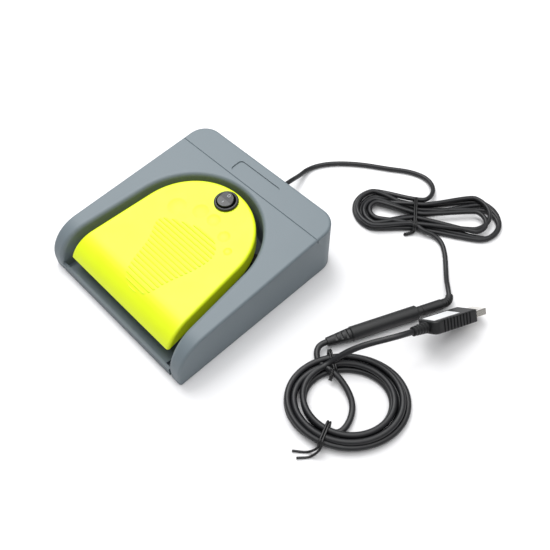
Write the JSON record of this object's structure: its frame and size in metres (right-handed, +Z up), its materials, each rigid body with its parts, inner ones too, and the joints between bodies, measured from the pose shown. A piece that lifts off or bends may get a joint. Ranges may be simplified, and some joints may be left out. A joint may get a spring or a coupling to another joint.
{
  "type": "foot pedal switch",
  "caption": "Computer foot switch: wedge housing with horseshoe recess, sprung hinged pedal with raised footprint and round rocker, coiled cable with inline connector and USB plug.",
  "frame": {"origin": "centre of the housing's footprint on the floor, under the rubber feet", "axes": "+Z up, +Y from the heel end of the pedal to the toe end, where the cable leaves, +X to the user's right"},
  "size_m": [0.2555, 0.2645, 0.0424],
  "materials": {
    "housing_grey": "fine moulded texture",
    "base_grey": "fine moulded texture, darker than the shell",
    "pedal_lime": "fine moulded texture",
    "rubber_black": "matte",
    "steel_zinc": "zinc plated",
    "steel_bright": "ground",
    "steel_spring": "drawn wire and strip",
    "nylon_white": "moulded nylon",
    "switch_black": "semi-gloss",
    "button_black": "gloss",
    "plunger_red": "moulded",
    "brass_tinned": "tinned",
    "board_green": "solder resist",
    "chip_black": "moulded epoxy",
    "wire_red": "insulated wire",
    "wire_white": "insulated wire",
    "wire_green": "insulated wire",
    "cable_black": "soft matte jacket",
    "relief_black": "soft matte moulding",
    "tie_black": "coated wire",
    "connector_black": "moulded over",
    "nickel": "nickel plated",
    "gold_contacts": "gold plated",
    "label_white": "printed film without print"
  },
  "bodies": {
    "base": {"base_plate": "base_grey", "base_screws": "steel_zinc", "board_screws": "steel_zinc", "cable_clamp": "nylon_white", "cable_coil": "cable_black", "cable_cores": "wire_green", "cable_drop": "cable_black", "cable_end": "cable_black", "cable_gland": "relief_black", "cable_hank": "cable_black", "cable_header": "nylon_white", "cable_lead": "cable_black", "cable_to_coil": "cable_black", "cable_to_usb": "cable_black", "circuit_board": "board_green", "clamp_screws": "steel_zinc", "coil_tie_front": "tie_black", "coil_tie_rear": "tie_black", "controller_chip": "chip_black", "crystal_can": "steel_bright", "hank_tie": "tie_black", "hinge_clips": "steel_spring", "hinge_pin": "steel_bright", "inline_plug": "connector_black", "inline_socket": "connector_black", "jack_pin": "nickel", "plug_relief": "relief_black", "return_spring_left": "steel_spring", "return_spring_right": "steel_spring", "rocker_wires": "wire_white", "rubber_feet": "rubber_black", "socket_relief": "relief_black", "stop_bumpers": "rubber_black", "switch_body": "switch_black", "switch_header": "nylon_white", "switch_screws": "steel_zinc", "switch_terminals": "brass_tinned", "switch_wires": "wire_red", "top_housing": "housing_grey", "usb_body": "connector_black", "usb_contacts": "gold_contacts", "usb_label": "label_white", "usb_relief": "relief_black", "usb_shell": "nickel", "usb_tongue": "nylon_white"},
    "pedal": {"pedal_shell": "pedal_lime", "hinge_bushes": "nylon_white", "rocker_housing": "switch_black", "rocker_terminals": "brass_tinned"},
    "rocker": {"rocker_button": "button_black"},
    "lever": {"switch_lever": "steel_spring"},
    "plunger": {"switch_plunger": "plunger_red"}
  },
  "joints": [
    {"name": "pedal_hinge", "type": "hinge", "parent": "base", "child": "pedal", "pos_m": [0, -0.058, 0.012], "axis": [-1, 0, 0], "range_deg": [0, 4], "stiffness_Nm_per_rad": 7.7, "springref_deg": -5.16, "deforming": ["return_spring_left", "return_spring_right", "rocker_wires"]},
    {"name": "rocker_tilt", "type": "hinge", "parent": "pedal", "child": "rocker", "pos_m": [0, 0.03159, 0.03658], "axis": [-1, 0, 0], "range_deg": [0, 12]},
    {"name": "lever_pivot", "type": "hinge", "parent": "base", "child": "lever", "pos_m": [0, -0.04, 0.0195], "axis": [-1, 0, 0], "range_deg": [0, 8.8]},
    {"name": "plunger_slide", "type": "slide", "parent": "base", "child": "plunger", "axis": [0, 0, -1], "range_m": [0, 0.00095]}
  ],
  "couplings": [
    {"joint": "lever_pivot", "follows": "pedal_hinge", "ratio": 2.142},
    {"joint": "plunger_slide", "follows": "pedal_hinge", "m_per_rad": 0.0133}
  ]
}
